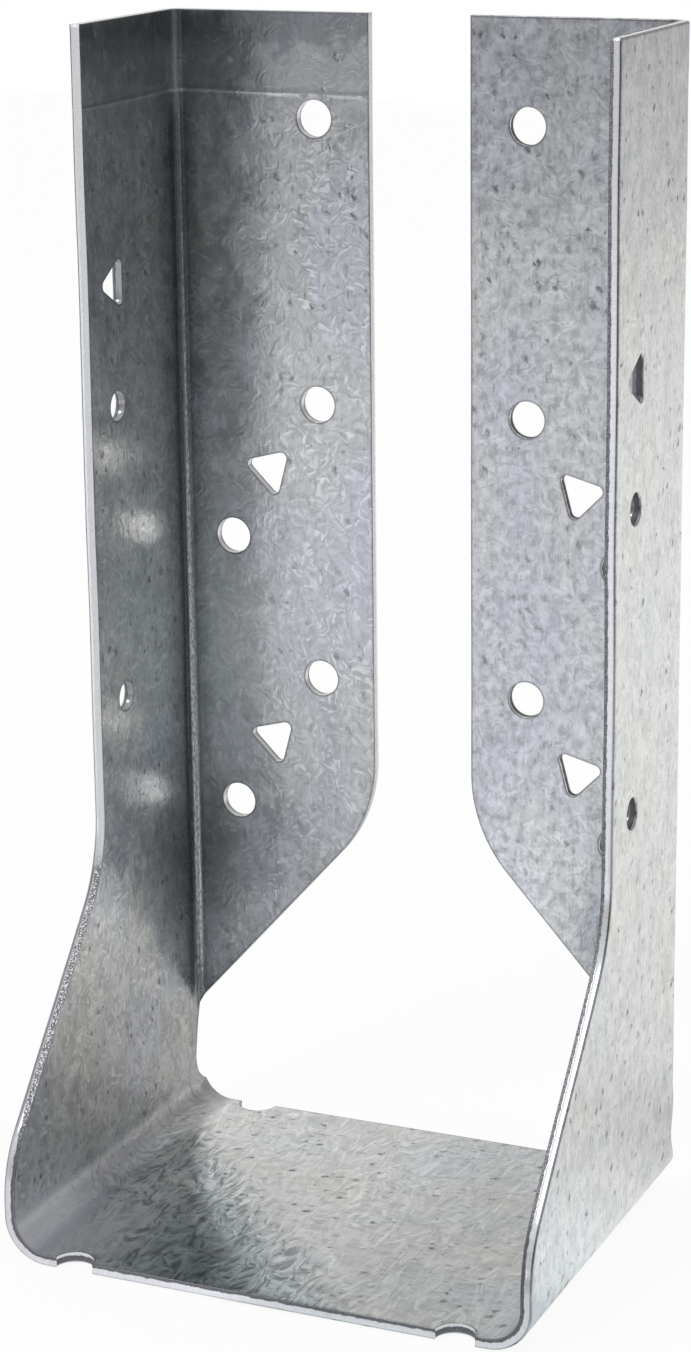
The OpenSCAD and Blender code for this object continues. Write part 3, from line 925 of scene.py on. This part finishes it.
# floor rings that go on as a dome: point = ring distance (or the dome's radius * cos rise) along each turn,
# with the table's brightness, read between its rows and columns, as the point's colour
def buildRoom():
    turns = np.arange(-180, 180, 7.5)
    reach = room["distances"][-1]
    rings = np.arange(0, len(room["light"]) - 0.99, 0.25)
    rows = np.arange(len(room["light"]))
    floorRings = len(room["distances"])
    rise = np.radians(np.interp(rings, rows, (0,) * floorRings + room["rises"]))
    distance = np.interp(rings, rows[:floorRings], room["distances"])
    columns = np.stack([np.interp(turns, room["turns"], row) for row in room["light"]])
    glow = np.stack([np.interp(rings, rows, column) for column in columns.T], 1)
    out, up = (distance * np.cos(rise))[:, None], (reach * np.sin(rise))[:, None] - 0.0001
    angle = np.radians(turns)
    points = np.stack([out * np.sin(angle), -out * np.cos(angle), up + 0 * angle], 2).reshape(-1, 3)
    wide, deep = len(turns), len(rings)
    i, j = (v.ravel() for v in np.meshgrid(np.arange(deep - 1), np.arange(wide), indexing="ij"))
    k = (j + 1) % wide
    faces = np.stack([i * wide + j, i * wide + k, (i + 1) * wide + k, (i + 1) * wide + j], 1)
    mesh = bpy.data.meshes.new("studioRoom")
    mesh.from_pydata(points.tolist(), [], faces.tolist())
    tint = np.stack([np.interp(turns, room["tintTurns"], tone) for tone in zip(*room["tints"])], 1)
    colours = np.concatenate([glow[:, :, None] * tint, np.ones((deep, wide, 1))], 2)
    layer = mesh.attributes.new("glow", "FLOAT_COLOR", "POINT")
    layer.data.foreach_set("color", colours.astype(np.float32).ravel())
    walls = addObject("studioRoom", mesh)
    material, tree = plainMaterial("studioRoom")
    light = shone(tree, "ShaderNodeEmission", 1.0, readAttribute(tree, "glow", "Color"))
    addNode(tree, "ShaderNodeOutputMaterial", {"Surface": light})
    mesh.materials.append(material)
    walls.visible_camera = walls.visible_diffuse = walls.visible_shadow = walls.visible_transmission = False


def buildWorld():
    world = bpy.data.worlds.new("studio")
    scene.world = world
    world.use_nodes = True
    tree = world.node_tree
    tree.nodes.clear()
    seen = addNode(tree, "ShaderNodeLightPath").outputs["Is Camera Ray"]
    light, white = (shone(tree, "ShaderNodeBackground", strength) for strength in (stage["world"], 1.0))
    mix = addNode(tree, "ShaderNodeMixShader", {0: seen, 1: light, 2: white}).outputs[0]
    addNode(tree, "ShaderNodeOutputWorld", {"Surface": mix})


def addLamp(name, place, aim, size, power):
    data = bpy.data.lights.new(name, "AREA")
    data.shape, data.size, data.size_y, data.energy = "RECTANGLE", size[0], size[1], power
    lamp = addObject(name, data)
    lamp.location = place
    lamp.rotation_euler = (Vector(aim) - Vector(place)).to_track_quat("-Z", "Y").to_euler()


buildFloor()
buildRoom()
buildWorld()
addLamp("softTop", (-0.17, -0.39, 0.73), (0.04, -0.02, 0.06), (0.2, 0.3), 1.1)
print("stage: floor, world and lamps")

# the view: turn, rise and roll in degrees, distance and target in metres, lens and sensor in millimetres
view = {"turn": 23.92, "rise": 15.69, "roll": -0.68, "distance": 0.48117, "target": (0.00045, 0.0, 0.08482),
        "lens": 88.811361, "sensor": 36, "shiftX": 0.00013, "shiftY": 0.00259}


def buildCamera():
    a, e, r = (math.radians(view[k]) for k in ("turn", "rise", "roll"))
    backward = Vector((math.sin(a) * math.cos(e), -math.cos(a) * math.cos(e), math.sin(e)))
    level = Vector((math.cos(a), math.sin(a), 0))
    upward = backward.cross(level)
    right = level * math.cos(r) + upward * math.sin(r)
    up = upward * math.cos(r) - level * math.sin(r)
    data = bpy.data.cameras.new("camera")
    data.lens, data.sensor_width = view["lens"], view["sensor"]
    data.shift_x, data.shift_y = view["shiftX"], view["shiftY"]
    data.clip_start, data.clip_end = 0.01, 20
    camera = addObject("camera", data)
    frameAxes = Matrix((right, up, backward)).transposed().to_4x4()
    camera.matrix_world = Matrix.Translation(Vector(view["target"]) + backward * view["distance"]) @ frameAxes
    scene.camera = camera


buildCamera()
scene.view_settings.view_transform = "Standard"
